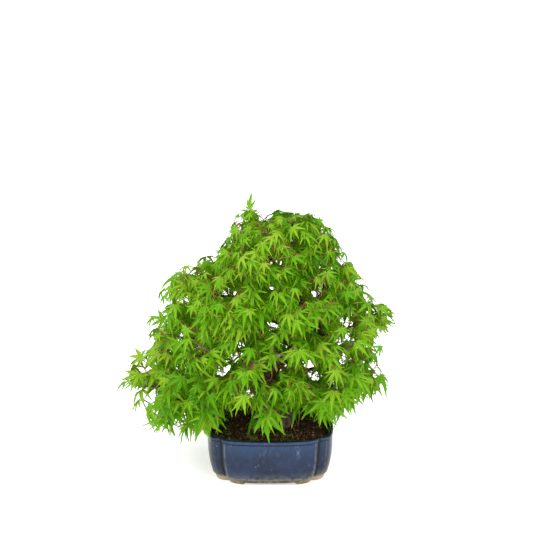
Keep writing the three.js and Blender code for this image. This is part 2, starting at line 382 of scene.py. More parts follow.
soil = {
    "edge": 53.6,
    "crown": 57.0,
    "steps": 40,  # along each lobe
    "rings": 26,
    "underside": 20,
    "grains": 2200,
    "grainSize": (0.5, 1.5),
    "grainShares": (36, 31, 21, 12),  # humus, brown, rust and tan
    "mossPatches": 24,
    "mossAt": (3.12, 3.22, 3.3, 3.62, 3.7, 3.8, 2.8, 0.3, 1.4, 2.3),  # turns round the rim, mostly in front
    "mossTufts": 34,
    "seed": 5,
}
soilColours = {
    "humus": rgb("2a1b10"),
    "brown": rgb("583820"),
    "rust": rgb("8c5429"),
    "tan": rgb("b89c68"),
    "mossDark": rgb("40601a"),
    "moss": rgb("7c962c"),
    "mossTip": rgb("94ae40"),
}


def soilHeight(x, y):
    a = abs(x) / (pot["width"] / 2 - 8)
    b = abs(y) / (pot["depth"] / 2 - 8)
    dome = max(0.0, 1 - (a**4 + b**4) ** 0.25)
    bumps = noise.noise(Vector((x, y, 3)) * 0.09) * 1.1 + noise.noise(Vector((x, y, 9)) * 0.5) * 0.45
    return soil["edge"] + (soil["crown"] - soil["edge"]) * min(1, dome * 1.9) ** 0.8 + bumps


def pebble(rnd, centre, size):
    # a small uneven lump of soil
    golden = math.pi * (3 - 5**0.5)
    points, faces, index = [], [], []
    turn = rnd.random() * 6.28
    squash = rnd.uniform(0.55, 0.95)
    for level, count in ((-0.85, 4), (0.0, 6), (0.85, 4)):
        radius = math.sqrt(max(0.05, 1 - level * level))
        row = []
        for k in range(count):
            a = turn + 6.2832 * k / count + level * golden
            r = size * radius * rnd.uniform(0.72, 1.2)
            row.append(len(points))
            z = centre[2] + level * size * squash
            points.append((centre[0] + r * math.cos(a), centre[1] + r * math.sin(a), z))
        index.append(row)
    for low, high in zip(index, index[1:]):
        n, m = len(low), len(high)
        i = j = 0
        while i < n or j < m:
            if j >= m or (i < n and (i + 1) / n <= (j + 1) / m):
                faces.append((low[i % n], low[(i + 1) % n], high[j % m]))
                i += 1
            else:
                faces.append((low[i % n], high[(j + 1) % m], high[j % m]))
                j += 1
    faces.append(tuple(reversed(index[0])))
    faces.append(tuple(index[-1]))
    return points, faces


def makeSoilBed(inset):
    turns = [i / soil["steps"] for i in range(4 * soil["steps"])]
    under = soil["underside"]
    rings = [[(*planPoint(turn, insideInset(under) + 0.5), under) for turn in turns]]
    for row in range(soil["rings"]):
        share = 1 - (row / soil["rings"]) ** 1.1
        ring = []
        for turn in turns:
            x, y = planPoint(turn, inset)
            x, y = x * share, y * share
            ring.append((x, y, soilHeight(x, y)))
        rings.append(ring)

    def soilLook(place):
        grain = place.cells(1.6)
        clump = place.noisy(7, 4)
        fine = place.noisy(0.7, 3)
        colour = clump.ranged(0.35, 0.7).mixed(soilColours["humus"], soilColours["brown"])
        colour = (grain.ranged(0.3, 0.1) * clump.ranged(0.5, 0.7) * 0.7).mixed(colour, soilColours["rust"])
        height = grain * -0.7 + clump + fine * 0.4
        return {"Base_Color": colour, "Roughness": 0.8 + fine * 0.2, "Normal": bumped(height, 0.9)}

    bed = newMaterial("dampSoil", soilLook, Specular_IOR_Level=0.3)
    makePiece("soilBed", Heap(*loft(rings)), [bed], replaces=["soil"])


def grainFinish(name, other):
    def look(place):
        fine = place.noisy(0.5, 3)
        mixed = fine.ranged(0.35, 0.65).mixed(soilColours[name], soilColours[other])
        return {"Base_Color": mixed, "Roughness": 0.75 + fine * 0.2, "Normal": bumped(fine, 0.25)}

    return newMaterial("grain" + name.capitalize(), look)


def makeGrains(rnd, inset):
    pairs = {"humus": "brown", "brown": "humus", "rust": "brown", "tan": "rust"}
    finishes = [grainFinish(name, other) for name, other in pairs.items()]
    heap = Heap()
    for _ in range(soil["grains"]):
        turn, share = rnd.random() * 4, math.sqrt(rnd.random()) * 0.985
        x, y = planPoint(turn, inset + 1)
        x, y = x * share, y * share
        size = rnd.uniform(*soil["grainSize"]) * (1.5 if rnd.random() < 0.08 else 1)
        grain = pebble(rnd, (x, y, soilHeight(x, y) + size * 0.35), size)
        heap.add(*grain, rnd.choices(range(4), soil["grainShares"])[0])
    makePiece("soilGrains", heap, finishes, smooth=False)


def mossLook(place):
    tuft = place.cells(0.7)
    patch = place.noisy(3, 3)
    colour = patch.ranged(0.35, 0.65).mixed(soilColours["mossDark"], soilColours["moss"])
    colour = tuft.ranged(0.35, 0.1).mixed(colour, soilColours["mossTip"])
    return {"Base_Color": colour, "Roughness": 0.9 - tuft * 0.1, "Normal": bumped(tuft * -1 + patch, 0.6)}


def makeMoss(rnd, inset):
    heap = Heap()
    for _ in range(soil["mossPatches"]):
        turn = rnd.choice(soil["mossAt"]) + rnd.uniform(-0.07, 0.07)
        x0, y0 = planPoint(turn, inset + rnd.uniform(2, 24))
        for _ in range(soil["mossTufts"]):
            x, y = x0 + rnd.gauss(0, 2.2), y0 + rnd.gauss(0, 1.4)
            size = rnd.uniform(0.35, 0.9)
            heap.add(*pebble(rnd, (x, y, soilHeight(x, y) + size * 0.6), size))
    makePiece("moss", heap, [newMaterial("mossGreen", mossLook)])


def makeSoil():
    rnd = random.Random(soil["seed"])
    inset = insideInset(soil["edge"]) + 0.15
    makeSoilBed(inset)
    makeGrains(rnd, inset)
    makeMoss(rnd, inset)


makeSoil()
print("soil made")

trunk = {
    "line": [  # from the soil to the tip
        (10, 4, 57), (0, 4, 92), (-1, 3, 121), (20, 0, 146), (49, -2, 162), (55, -2, 181),
        (43, 1, 205), (34, 3, 236), (35, 4, 268), (26, 4, 298), (14, 2, 318),
    ],
    "foot": 11.2,
    "tip": 1.5,
    "taper": 0.92,
    "flare": 8.5,
    "flareHeight": 13.0,
    "buttresses": 5,
    "buttressDepth": 0.3,
    "relief": 0.55,
    "rings": 230,
    "sides": 48,
    "scars": [(0.17, 0.6, 4.2), (0.36, 4.4, 3.6), (0.5, 2.2, 3.0), (0.66, 5.2, 2.6)],  # share, angle, size
}
limbs = {
    # share of the trunk where a tier's first limb leaves it, the step to the next, and the radius there
    "low": (0.09, 0.02, 2.9),
    "middle": (0.3, 0.026, 2.5),
    "upper": (0.6, 0.028, 2.0),
    "top": (0.8, 0.03, 1.5),
}
sideOrder = ["right", "back_right", "back", "back_left", "left", "front_left", "front", "front_right"]
woodColours = {
    "bark": rgb("584839"),
    "barkLight": rgb("857460"),
    "barkDark": rgb("261c14"),
    "barkGreen": rgb("54582e"),
    "twig": rgb("5a3322"),
    "twigLight": rgb("925e46"),
}


def smoothLine(points, steps):
    # a curve through the points, with evenly spaced steps
    points = [np.array(p, float) for p in points]
    last = len(points) - 1
    fine = []
    for i in range(last):
        p0, p1, p2, p3 = points[max(i - 1, 0)], points[i], points[i + 1], points[min(i + 2, last)]
        for k in range(20):
            t = k / 20
            fine.append(0.5 * (2 * p1 + (p2 - p0) * t + (2 * p0 - 5 * p1 + 4 * p2 - p3) * t * t
                               + (3 * p1 - p0 - 3 * p2 + p3) * t**3))
    fine.append(points[-1])
    fine = np.array(fine)
    run = np.concatenate([[0], np.cumsum(np.linalg.norm(np.diff(fine, axis=0), axis=1))])
    even = np.linspace(0, run[-1], steps)
    return np.stack([np.interp(even, run, fine[:, k]) for k in range(3)], axis=1)


trunkLine = smoothLine(trunk["line"], 400)
trunkLength = float(np.sum(np.linalg.norm(np.diff(trunkLine, axis=0), axis=1)))


def onTrunk(share):
    return trunkLine[int(round(min(max(share, 0), 1) * 399))]


def trunkRadius(share):
    return trunk["tip"] + (trunk["foot"] - trunk["tip"]) * (1 - share) ** trunk["taper"]


def tube(line, radius, sides, closed=True):
    # rings square to a line; radius(k, angle) gives each one's size
    line = np.asarray(line, float)
    tangents = np.gradient(line, axis=0)
    side = unit(np.cross(tangents[0], (0.31, 0.95, 0.05)))
    rings = []
    for k, (p, t) in enumerate(zip(line, tangents)):
        t = unit(t)
        side = unit(side - t * np.dot(side, t))
        other = np.cross(t, side)
        ring = []
        for j in range(sides):
            a = 2 * math.pi * j / sides
            r = radius(k, a)
            ring.append(tuple(p + side * (r * math.cos(a)) + other * (r * math.sin(a))))
        rings.append(ring)
    return loft(rings, closed)


def barkRelief(a, along, size):
    # fine ridges that run along the limb, and soft swellings
    c, s = math.cos(a), math.sin(a)
    ridge = noise.noise(Vector((c * 2.4, s * 2.4, along * 0.035)) * 1.3)
    crack = abs(noise.noise(Vector((c * 4.5, s * 4.5, along * 0.06 + 7))))
    grain = noise.noise(Vector((c * 9, s * 9, along * 0.2)))
    swell = noise.noise(Vector((c, s, along * 0.05 + 20)))
    return size * (0.55 * ridge - 0.9 * max(0.0, 0.22 - crack) * 2.2 + 0.18 * grain + 0.8 * swell)


def barkLook(place):
    ring = place.noisy(4.5, 5, 0.6, (1, 1, 0.28))
    patch = place.noisy(15, 3)
    fine = place.noisy(0.9, 4, 0.6, (1, 1, 0.4))
    crack = place.cells(3.4, (1, 1, 0.22), "DISTANCE_TO_EDGE")
    colour = ring.ranged(0.32, 0.68).mixed(woodColours["bark"], woodColours["barkLight"])
    colour = (patch.ranged(0.52, 0.72) * 0.6).mixed(colour, woodColours["barkGreen"])
    colour = (crack.ranged(0.07, 0.0) * 0.75).mixed(colour, woodColours["barkDark"])
    colour = (fine.ranged(0.6, 0.75) * 0.35).mixed(colour, woodColours["barkDark"])
    height = ring * 0.8 + crack.ranged(0.0, 0.12) * 0.7 + fine * 0.35
    return {"Base_Color": colour, "Roughness": 0.78 + fine * 0.2, "Normal": bumped(height, 0.6, 0.8)}


def twigLook(place):
    patch = place.noisy(6, 3)
    fine = place.noisy(0.6, 3, 0.5, (1, 1, 0.5))
    colour = patch.ranged(0.35, 0.65).mixed(woodColours["twig"], woodColours["twigLight"])
    colour = (fine.ranged(0.55, 0.7) * 0.5).mixed(colour, woodColours["barkDark"])
    return {"Base_Color": colour, "Roughness": 0.55 + fine * 0.25, "Normal": bumped(fine, 0.15)}


barkFinish = newMaterial("mapleBark", barkLook, Specular_IOR_Level=0.3)
twigFinish = newMaterial("youngTwigs", twigLook, Specular_IOR_Level=0.35)


def makeTrunk():
    rings = trunk["rings"]
    line = smoothLine(trunk["line"], rings)
    line = np.vstack([line[0] - np.array([0, 0, 4.0]), line])

    def size(k, a):
        share = max(k - 1, 0) / (rings - 1)
        along = share * trunkLength
        near = math.exp(-((along / trunk["flareHeight"]) ** 2))
        ripple = 1 + trunk["buttressDepth"] * math.cos(trunk["buttresses"] * a)
        r = trunkRadius(share) + trunk["flare"] * near * ripple
        relief = barkRelief(a, along, trunk["relief"] * (0.35 + r / 14))
        for at, angle, wide in trunk["scars"]:
            d = math.hypot((share - at) * trunkLength, math.remainder(a - angle, 2 * math.pi) * r) / wide
            relief += 1.3 * math.exp(-((d - 0.9) ** 2) * 9) - 0.7 * math.exp(-(d**2) * 6)
        return r + relief

    solid = Heap(*tube(line, size, trunk["sides"]))
    makePiece("barkedTrunk", solid, [barkFinish], replaces=["trunk"])


makeTrunk()
print("trunk made")

leaf = {
    "lobes": [(0, 1.0), (41, 0.9), (82, 0.66), (124, 0.3)],  # angle from the middle lobe, and length
    "youngLobes": [(0, 1.0), (30, 0.74), (78, 0.52)],  # the same for one that is still opening
    "reach": 28.5,  # the middle lobe of a full leaf
    "width": 0.113,  # half the width of a lobe at its widest, as a share of its length
    "sinus": 0.28,  # how far out the lobes part, as a share of their length
    # a long lobe's half width at places along it, and a short lobe's
    "outline": [(0.0, 0), (0.14, 1.0), (0.3, 0.95), (0.48, 0.7), (0.66, 0.44), (0.84, 0.2), (1.0, 0)],
    "sideOutline": [(0.0, 0), (0.2, 1.0), (0.48, 0.72), (0.76, 0.3), (1.0, 0)],
    "longLobe": 0.78,
    "teeth": 0.12,
    "toothLean": 0.022,
    "rib": 0.013,
    "shapes": 16,
    "youngShapes": 3,
    "stalkRadius": 0.42,
    "seed": 11,
}
# from dark to pale: a spray's place among them is painted shade and painted light, paler towards the crown's
# edge and top, and also varies at random
leafGreens = ["285404", "336804", "417700", "4d8500", "598c02", "668e0a", "71941a"]
ribGreens = ["64902a", "8eaa48"]
leafPaintedGlow = 0.17  # painted glow: emitted light in the leaves' own colour, as a share of it, standing in for light that comes through the thin leaves
leafKinds = len(leafGreens)


def leafShape(rnd, lobeList, limp=1.0):
    # one leaf, its stalk's joint at 0 and its middle lobe along +X; kind 0 is blade, 1 is rib, 2 is tip
    points, faces, kinds = [(0.0, 0.0, 0.0)], [], []
    sag = rnd.uniform(0.15, 0.75) * limp
    fold = rnd.uniform(0.25, 0.8)
    sideSag = rnd.uniform(0.05, 0.6) * limp
    skew = rnd.uniform(-0.15, 0.15)
    lobes = []
    for angle, length in lobeList:
        for side in (1, -1) if angle else (1,):
            turn = math.radians(side * (angle + rnd.uniform(-4, 4)))
            lobes.append((turn, length * rnd.uniform(0.88, 1.06)))
    lobes.sort()
    outer = math.radians(26)
    gaps = [(lobes[0][0] - outer, 0.1)]
    for (turnA, lengthA), (turnB, lengthB) in zip(lobes, lobes[1:]):
        reach = leaf["sinus"] * min(lengthA, lengthB) * rnd.uniform(0.9, 1.1) + 0.03
        gaps.append(((turnA + turnB) / 2, reach))
    gaps.append((lobes[-1][0] + outer, 0.1))

    def settle(s, o, turn):
        # places a point s along a lobe and o to its side
        x = math.cos(turn) * s - math.sin(turn) * o
        y = math.sin(turn) * s + math.cos(turn) * o
        return (x, y, fold * abs(o) - sag * s**2.4 - sideSag * abs(y) ** 1.5 + skew * x * y)

    for i, (turn, length) in enumerate(lobes):
        bend = rnd.uniform(-0.1, 0.1)
        rows = []
        outline = leaf["outline"] if length > leaf["longLobe"] else leaf["sideOutline"]
        base = leaf["sinus"] * length * 0.92
        for k, (u, w) in enumerate(outline):
            if k == 0:
                (lowTurn, lowReach), (highTurn, highReach) = gaps[i], gaps[i + 1]
                low, high = lowTurn - turn, highTurn - turn
                right = settle(lowReach * math.cos(low), lowReach * math.sin(low), turn)
                left = settle(highReach * math.cos(high), highReach * math.sin(high), turn)
                s = max((lowReach * math.cos(low) + highReach * math.cos(high)) / 2, 0.05)
                rows.append([right, settle(s, -leaf["rib"], turn), settle(s, leaf["rib"], turn), left])
                continue
            s = base + (length - base) * u
            lift = bend * u * u * length
            if k == len(outline) - 1:
                rows.append([settle(s, lift, turn)])
                continue
            rib = leaf["rib"] * (1 - u)
            tooth = 1 + leaf["teeth"] * (1 if k % 2 else -1)
            half = w * leaf["width"] * length * tooth
            forward = leaf["toothLean"] if k % 2 else 0
            rows.append([settle(s + forward, lift - half, turn), settle(s, lift - rib, turn),
                         settle(s, lift + rib, turn), settle(s + forward, lift + half, turn)])
        first = len(points)
        for row in rows:
            points.extend(row)
        a, b, c, d = first, first + 1, first + 2, first + 3
        faces += [(0, a, b), (0, b, c), (0, c, d)]
        kinds += [0, 1, 0]
        for k in range(len(rows) - 1):
            at = first + 4 * k
            last = k == len(rows) - 2
            for j in range(3):
                if last:
                    faces.append((at + j, at + 4, at + j + 1))
                else:
                    faces.append((at + j, at + 4 + j, at + 5 + j, at + j + 1))
                kinds.append(2 if last else (1 if j == 1 else 0))
    return np.array(points), faces, kinds


shapeMaker = random.Random(leaf["seed"])
leafShapes = [leafShape(shapeMaker, leaf["lobes"]) for _ in range(leaf["shapes"])]
youngShapes = [leafShape(shapeMaker, leaf["youngLobes"], 0.1) for _ in range(leaf["youngShapes"])]


class Foliage(Heap):
    leaves = 0

    def leaf(self, rnd, joint, start, axis, normal, size, green, tinted, keptOut=None, shapes=leafShapes):
        # a leaf at the end of a stalk from start, unless keptOut says that it would be in the way
        shape, faces, kinds = rnd.choice(shapes)
        x = unit(axis)
        z = unit(normal - x * np.dot(normal, x))
        turned = shape @ np.array([x, np.cross(z, x), z]) * size + joint
        if keptOut and keptOut(rnd, turned):
            return False
        self.leaves += 1
        # the paler rib goes with the paler, painted-light greens
        rib = leafKinds + (1 if green > 3 else 0)
        tip = leafKinds + 3 if tinted else green
        self.add(turned, faces, [(green, rib, tip)[k] for k in kinds])
        middle = (start + joint) / 2 + up * np.linalg.norm(joint - start) * 0.12
        thick = leaf["stalkRadius"]
        self.add(*tube([start, middle, joint], lambda k, a: thick - 0.06 * k, 3, False), leafKinds + 2)
        return True


def plainLeaf(name, code):
    # the leaves glow with painted light of their own colour
    paintedGlow = {"Emission_Color": rgb(code), "Emission_Strength": leafPaintedGlow}
    return newMaterial(name, Base_Color=rgb(code), Roughness=0.45, Specular_IOR_Level=0.07, **paintedGlow)


leafFinishes = [plainLeaf(f"leafGreen{i + 1}", code) for i, code in enumerate(leafGreens)]
leafFinishes += [plainLeaf(f"leafRib{i + 1}", code) for i, code in enumerate(ribGreens)]
leafFinishes += [plainLeaf("leafStalk", "9c5642"), plainLeaf("leafTipTint", "a07c38")]

# Each limb runs on into its mass, and twigs branch from it towards spaced spray tips.

growth = {
    "seed": 21,
    "spacing": 18.0,  # between spray tips
    "loosening": 0.26,  # how much further apart they are at the ends of the boughs
    "tightening": 0.2,  # and how much closer at the top
    "tries": 2600,  # for places in each mass
    "skin": (1.0, 20.0),  # how far inside a mass the middle of a spray's leaves may be
    "hang": 11.0,  # how far below its tip that middle is
    "spread": 6.0,  # and how far outside it
    "rise": 6.0,  # and how far it stays below the top
    "between": 16.0,  # how far outside the masses a tip may be, near the crown's axis
    "buriedBy": 32.0,  # a tip is an inner one when another mass lies this far outside it
    "inner": 0.5,  # the share of the inner ones that bear leaves
    "step": 6.0,  # between points of a twig
    "straightness": 0.55,  # how much longer a way a twig takes rather than turn back
    "bow": (0.16, 0.1),  # how far it runs on along its parent, and how far it arches, for its length
    "tipRadius": 0.42,
    "pipe": 2.3,  # a twig's radius to this power is the sum of those that branch from it
    "thick": 1.25,  # the radius from which wood has bark relief
    "collar": 0.55,  # how much wider a limb is where it leaves the trunk
    "limbTaper": 0.62,
}
crown = {
    "axis": np.array([14.0, 2.0]),
    "reach": 130.0,  # from the axis to the ends of the boughs
    "depth": 120.0,  # half its size from front to back
    "lowest": 23.0,
    "slack": 5.0,  # how far a leaf may pass its edges
    # seen from a little above the front: the lower edge, then the left and right ones by height
    "skirt": [(-185, 76), (-165, 44), (-140, 33), (-110, 25), (-60, 24), (-50, 34), (72, 36), (84, 62),
              (108, 77), (150, 92)],
    "flanks": [(45, -168, 150), (85, -193, 146), (117, -181, 152), (124, -191, 136), (156, -162, 130),
               (173, -148, 137), (196, -148, 163), (218, -137, 130), (242, -126, 110), (274, -80, 88),
               (289, -52, 82), (327, -38, 54), (333, -36, -8), (352, -32, -6)],
    "slope": math.tan(math.radians(20)),  # how much higher a place looks for each mm towards the back
    "overSoil": 0.9,  # the share of leaves left out in front of the soil
    "soilShows": (4, 46, 38, 72),  # the middle and half width of that place, and its lowest and highest
}
pockets = {
    # open pockets between the sprays: where each crosses the axis in the same view, and its radius
    "through": [(-6, 330, 6), (-5, 322, 3), (-54, 124, 1.5), (-86, 157, 1.5), (46, 134, 3.5), (52, 115, 2),
                (86, 138, 2), (-35, 161, 2), (-142, 127, 1.5), (4, 184, 2.5), (54, 224, 2.5), (96, 187, 2)],
    "toTrunk": [(0, 118, 4), (60, 176, 4), (12, 136, 3), (36, 214, 3)],
    # small ones scattered by rule: left, right, low and high, and how many
    "scattered": [(30, 130, 100, 240, 7), (-75, 50, 120, 220, 8), (-165, -60, 70, 190, 7),
                  (0, 80, 225, 300, 6), (-110, 0, 200, 290, 5), (-60, 75, 62, 135, 9)],
    "scatteredSize": (1.0, 2.0),
    "seed": 33,
}
gapMaker = random.Random(pockets["seed"])
through = list(pockets["through"])
for left, right, low, high, count in pockets["scattered"]:
    for _ in range(count):
        place = gapMaker.uniform(left, right), gapMaker.uniform(low, high)
        through.append((*place, gapMaker.uniform(*pockets["scatteredSize"])))
pocketX, pocketZ, pocketReach = np.array(through).T


def fromFront(points):
    # across and up as seen from a little above the front
    return points[:, 0], points[:, 2] + points[:, 1] * crown["slope"]


def pastEdge(points, slack):
    x, z = fromFront(points)
    heights, left, right = zip(*crown["flanks"])
    outside = (x < np.interp(z, heights, left) - slack) | (x > np.interp(z, heights, right) + slack)
    outside |= abs(points[:, 1]) > crown["depth"] + slack
    outside |= (z < np.interp(x, *zip(*crown["skirt"]))) | (points[:, 2] < crown["lowest"])
    return bool(outside.any())


def keptOut(rnd, points):
    # whether a leaf with these points would fill a gap or pass the crown's edges
    x, z = fromFront(points)
    front = points[:, 1] < 0
    if (np.hypot(x[:, None] - pocketX, z[:, None] - pocketZ) < pocketReach).any():
        return True
    if any((front & (np.hypot(x - px, z - pz) < r)).any() for px, pz, r in pockets["toTrunk"]):
        return True
    middle, half, low, high = crown["soilShows"]
    overSoil = front & (abs(x - middle) < half) & (z > low) & (z < high)
    if overSoil.any() and rnd.random() < crown["overSoil"]:
        return True
    return pastEdge(points, crown["slack"])


def massMesh(name):
    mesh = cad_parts["foliage_" + name].data
    points = [np.array(v.co) / mm - potAxis / mm for v in mesh.vertices]
    tree = BVHTree.FromPolygons([Vector(p) for p in points], [tuple(f.vertices) for f in mesh.polygons])
    return np.array(points), tree


def depthInside(tree, p):
    # how far inside the mass a point is, or below 0 outside
    where, normal, _, distance = tree.find_nearest(Vector(p))
    return distance if (Vector(p) - where).dot(normal) < 0 else -distance


def outwardAt(p, centre):
    # away from the crown's axis and from the mass's own middle
    flat = p[:2] - crown["axis"]
    own = p[:2] - centre[:2]
    mixed = flat / max(np.linalg.norm(flat), 25) + 0.7 * own / max(np.linalg.norm(own), 12)
    return np.array([*mixed, 0.0]) / 1.3


def buried(p, centre, others):
    # whether another mass lies outside this place
    probe = p + outwardAt(p, centre) * growth["buriedBy"] + up * 8
    return any(depthInside(tree, probe) > 3 for tree in others)


def spreadTips(rnd, points, tree, centre, others, taken):
    # places for sprays in and round one mass, clear of those already taken
    low, high = points.min(0) - 4, points.max(0) + 4
    wide = growth["spacing"] * 2
    away = ((taken < low - wide) | (taken > high + wide)).any(axis=1)
    near = np.vstack([taken[~away], [[0.0, 0.0, -999.0]]])
    tips = []
    for _ in range(growth["tries"]):
        p = np.array([rnd.uniform(a, b) for a, b in zip(low, high)])
        middle = p - up * growth["hang"] + outwardAt(p, centre) * growth["spread"]
        far = np.linalg.norm(p[:2] - crown["axis"]) / crown["reach"]
        between = growth["between"] * max(0, 1.25 - far)
        if depthInside(tree, p) < 2 - between or depthInside(tree, p + up * growth["rise"]) < -between:
            continue
        if not growth["skin"][0] - between < depthInside(tree, middle) < growth["skin"][1]:
            continue
        looser = growth["loosening"] * far**2 - growth["tightening"] * p[2] / 300
        if np.linalg.norm(near - p, axis=1).min() > growth["spacing"] * (0.94 + looser):
            tips.append(p)
            near = np.vstack([near, p])
    tips = [p for p in tips if not pastEdge(p[None], 0)]
    return [p for p in tips if rnd.random() < growth["inner"] or not buried(p, centre, others)]


class Branching:
    # points that each know their parent
    def __init__(self, line):
        self.places = list(line)
        self.parents = [-1] + list(range(len(line) - 1))
        self.tips = []

    def heading(self, i):
        j = self.parents[i]
        return unit(self.places[i] - self.places[j]) if j >= 0 else unit(self.places[1] - self.places[0])

    def reachFor(self, rnd, tip, first):
        # a twig to the tip, from the point after first that it suits best
        places = np.array(self.places[first:])
        gaps = tip - places
        far = np.linalg.norm(gaps, axis=1)
        ahead = np.array([self.heading(first + i) for i in range(len(places))])
        bend = 1 - np.einsum("ij,ij->i", gaps / np.maximum(far, 1e-6)[:, None], ahead)
        best = first + int(np.argmin(far * (1 + growth["straightness"] * bend)))
        start = self.places[best]
        length = np.linalg.norm(tip - start)
        on, arch = growth["bow"]
        bow = start + (tip - start) * 0.5 + self.heading(best) * length * on + up * length * arch
        bow[2] = min(bow[2], max(start[2], tip[2]) + 1)
        count = max(1, int(length / growth["step"]))
        parent = best
        for k in range(1, count + 1):
            t = k / count
            p = start * (1 - t) ** 2 + bow * 2 * t * (1 - t) + tip * t * t
            if k < count:
                p = p + np.array([rnd.gauss(0, 0.5) for _ in range(3)])
            self.places.append(p)
            self.parents.append(parent)
            parent = len(self.places) - 1
        self.tips.append(parent)

    def radii(self, floor):
        load = [0.0] * len(self.places)
        for tip in self.tips:
            load[tip] += growth["tipRadius"] ** growth["pipe"]
        for i in range(len(self.places) - 1, 0, -1):
            if load[i] == 0:
                load[i] = growth["tipRadius"] ** growth["pipe"]
            load[self.parents[i]] += load[i]
        return [max(x ** (1 / growth["pipe"]), floor(i)) for i, x in enumerate(load)]

    def chains(self, radii, limbEnd):
        # runs of points, each following its thickest child, on the limb or on the way to a tip
        children = {}
        alive = set(range(limbEnd))
        for tip in self.tips:
            while tip >= 0 and tip not in alive:
                alive.add(tip)
                tip = self.parents[tip]
        for i in sorted(alive):
            children.setdefault(self.parents[i], []).append(i)
        runs, heads = [], [(-1, 0)]
        while heads:
            before, i = heads.pop()
            run = [before, i] if before >= 0 else [i]
            while i in children:
                ordered = sorted(children[i], key=lambda c: -radii[c])
                heads += [(i, c) for c in ordered[1:]]
                i = ordered[0]
                run.append(i)
            runs.append(run)
        return runs


spray = {
    "green": (2.8, 2.0),  # the middle one's place in leafGreens, and how much paler as painted light towards the crown's edge and top
    "greenVaries": (0.8, 0.5),  # between sprays, and within one
    "tinted": 0.35,  # the share with dry tips
    "pairs": (2, 2, 3),
    "extraPairAbove": 200,
    "stalk": (6, 13),
    "size": (1.05, 0.5, 0.13),  # for leaf["reach"], how much less at the top, and how it varies
    "endPair": 0.84,  # the size of the last two
    "steepShare": 0.68,
    "steep": (58, 22),  # degrees that a steep leaf droops, and how much less at the top
    "flat": (18, 12),
    "droopVaries": 19,
    "roll": 0.6,
}
# lean and rise in degrees and size of the leader's last leaves: one stands up, and two hang under it
leaderLeaves = [(8, 86, 25, youngShapes), (-40, -40, 15, leafShapes), (40, -44, 14, leafShapes)]


def hangingLeaf(rnd, p, stalk, out, high, young, last):
    # where a leaf on this stalk from p joins it, the way it points and faces, and its size
    middle, less, varies = spray["size"]
    size = leaf["reach"] * rnd.gauss(middle - less * high, varies) * (spray["endPair"] if last else 1)
    joint = p + stalk * rnd.uniform(*spray["stalk"])
    swing = np.array([rnd.gauss(0, 0.7), rnd.gauss(0, 0.7), 0])
    heading = unit(np.array([stalk[0], stalk[1], 0]) * 0.8 + out * 0.6 + swing)
    most, less = spray["steep"] if rnd.random() < spray["steepShare"] else spray["flat"]
    droop = math.radians(np.clip(rnd.gauss(most - less * high, spray["droopVaries"]), -25, 88))
    if young:
        droop = math.radians(rnd.uniform(-30, 60))
        size *= 0.95
    axis = heading * math.cos(droop) - up * math.sin(droop)
    normal = heading * math.sin(droop) + up * math.cos(droop)
    return joint, axis, unit(normal + np.cross(axis, normal) * rnd.gauss(0, spray["roll"])), size


def addSpray(rnd, foliage, branching, tip, centre, outer, young):
    # pairs of leaves along the end of one twig; returns the outermost place that bears one
    middle, paintedLight = spray["green"]
    greenBase = middle + paintedLight * (outer - 0.5) + rnd.gauss(0, spray["greenVaries"][0])
    tinted = rnd.random() < spray["tinted"]
    at = tip
    outermost = None
    extra = branching.places[tip][2] > spray["extraPairAbove"]
    pairs = 1 if young else rnd.choice(spray["pairs"]) + extra
    for pair in range(pairs):
        p = branching.places[at]
        t = branching.heading(at)
        roll = rnd.gauss(0, 0.4) + (pair % 2) * 1.3
        flat = unit(np.cross(t, up)) if abs(t[2]) < 0.97 else np.array([1.0, 0, 0])
        other = np.cross(flat, t)
        out = outwardAt(p, centre)
        high = np.clip((p[2] - 60) / 270, 0, 1)
        for hand in (1, -1):
            side = (flat * math.cos(roll) + other * math.sin(roll)) * hand
            forward = 0.75 if pair == 0 else 0.3
            stalk = unit(side * 0.8 + t * forward + up * (0.9 if young else 0.25) + out * 0.3)
            joint, axis, normal, size = hangingLeaf(rnd, p, stalk, out, high, young, pair == 0)
            green = round(greenBase + rnd.gauss(0, spray["greenVaries"][1]))
            green = int(np.clip(green, 0, leafKinds - 1))
            if foliage.leaf(rnd, joint, p, axis, normal, size, green, tinted, keptOut) and outermost is None:
                outermost = at
        for _ in range(2):
            if branching.parents[at] > 0:
                at = branching.parents[at]
    return outermost


def limbInto(name, centre, points):
    # the middle line of the limb that feeds a mass, from the trunk through the mass's middle
    tier, _, way = name.partition("_")
    if name == "leader":
        tall = np.array([centre[0], 0, points[:, 2].max() - 20])
        line = [onTrunk(0.93), np.array([-6, 0, 296]), np.array([-20, 0, 306]), tall]
    else:
        start = onTrunk(0.97)
        if name != "cap":
            first, step, _ = limbs[tier]
            count = {"upper": 6, "top": 4}.get(tier, 8)
            start = onTrunk(first + step * ((sideOrder.index(way) * 3) % count))
        end = start + (centre - start) * 0.7
        middle = (start + end) / 2 + up * 0.1 * np.linalg.norm(end - start)
        past = centre + unit((centre - start) * np.array([1, 1, 0.3])) * 12
        line = [start, middle, end, past]
    length = sum(np.linalg.norm(b - a) for a, b in zip(line, line[1:]))
    line = smoothLine(line, max(5, int(length / 5)))
    for i, p in enumerate(line):
        wobble = [noise.noise(Vector(p) * 0.06 + Vector((k, 0, 0))) for k in (0, 31, 77)]
        line[i] = p + np.array(wobble) * min(1, i / 4) * 2.2
    return list(line)


def crownLeader(rnd, foliage, tip):
    for lean, rise, size, shapes in leaderLeaves:
        side = math.sin(math.radians(lean))
        turn = math.radians(rise)
        across = np.array([side, -0.3, 0]) * math.cos(turn)
        axis = unit(across + up * math.sin(turn) + np.array([side * 0.5, 0, 0]))
        joint = tip + np.array([0, -1, 1 if rise > 0 else -4])
        foliage.leaf(rnd, joint, tip, axis, np.array([-0.75, -0.65, 0.3]), size, 4, False, shapes=shapes)


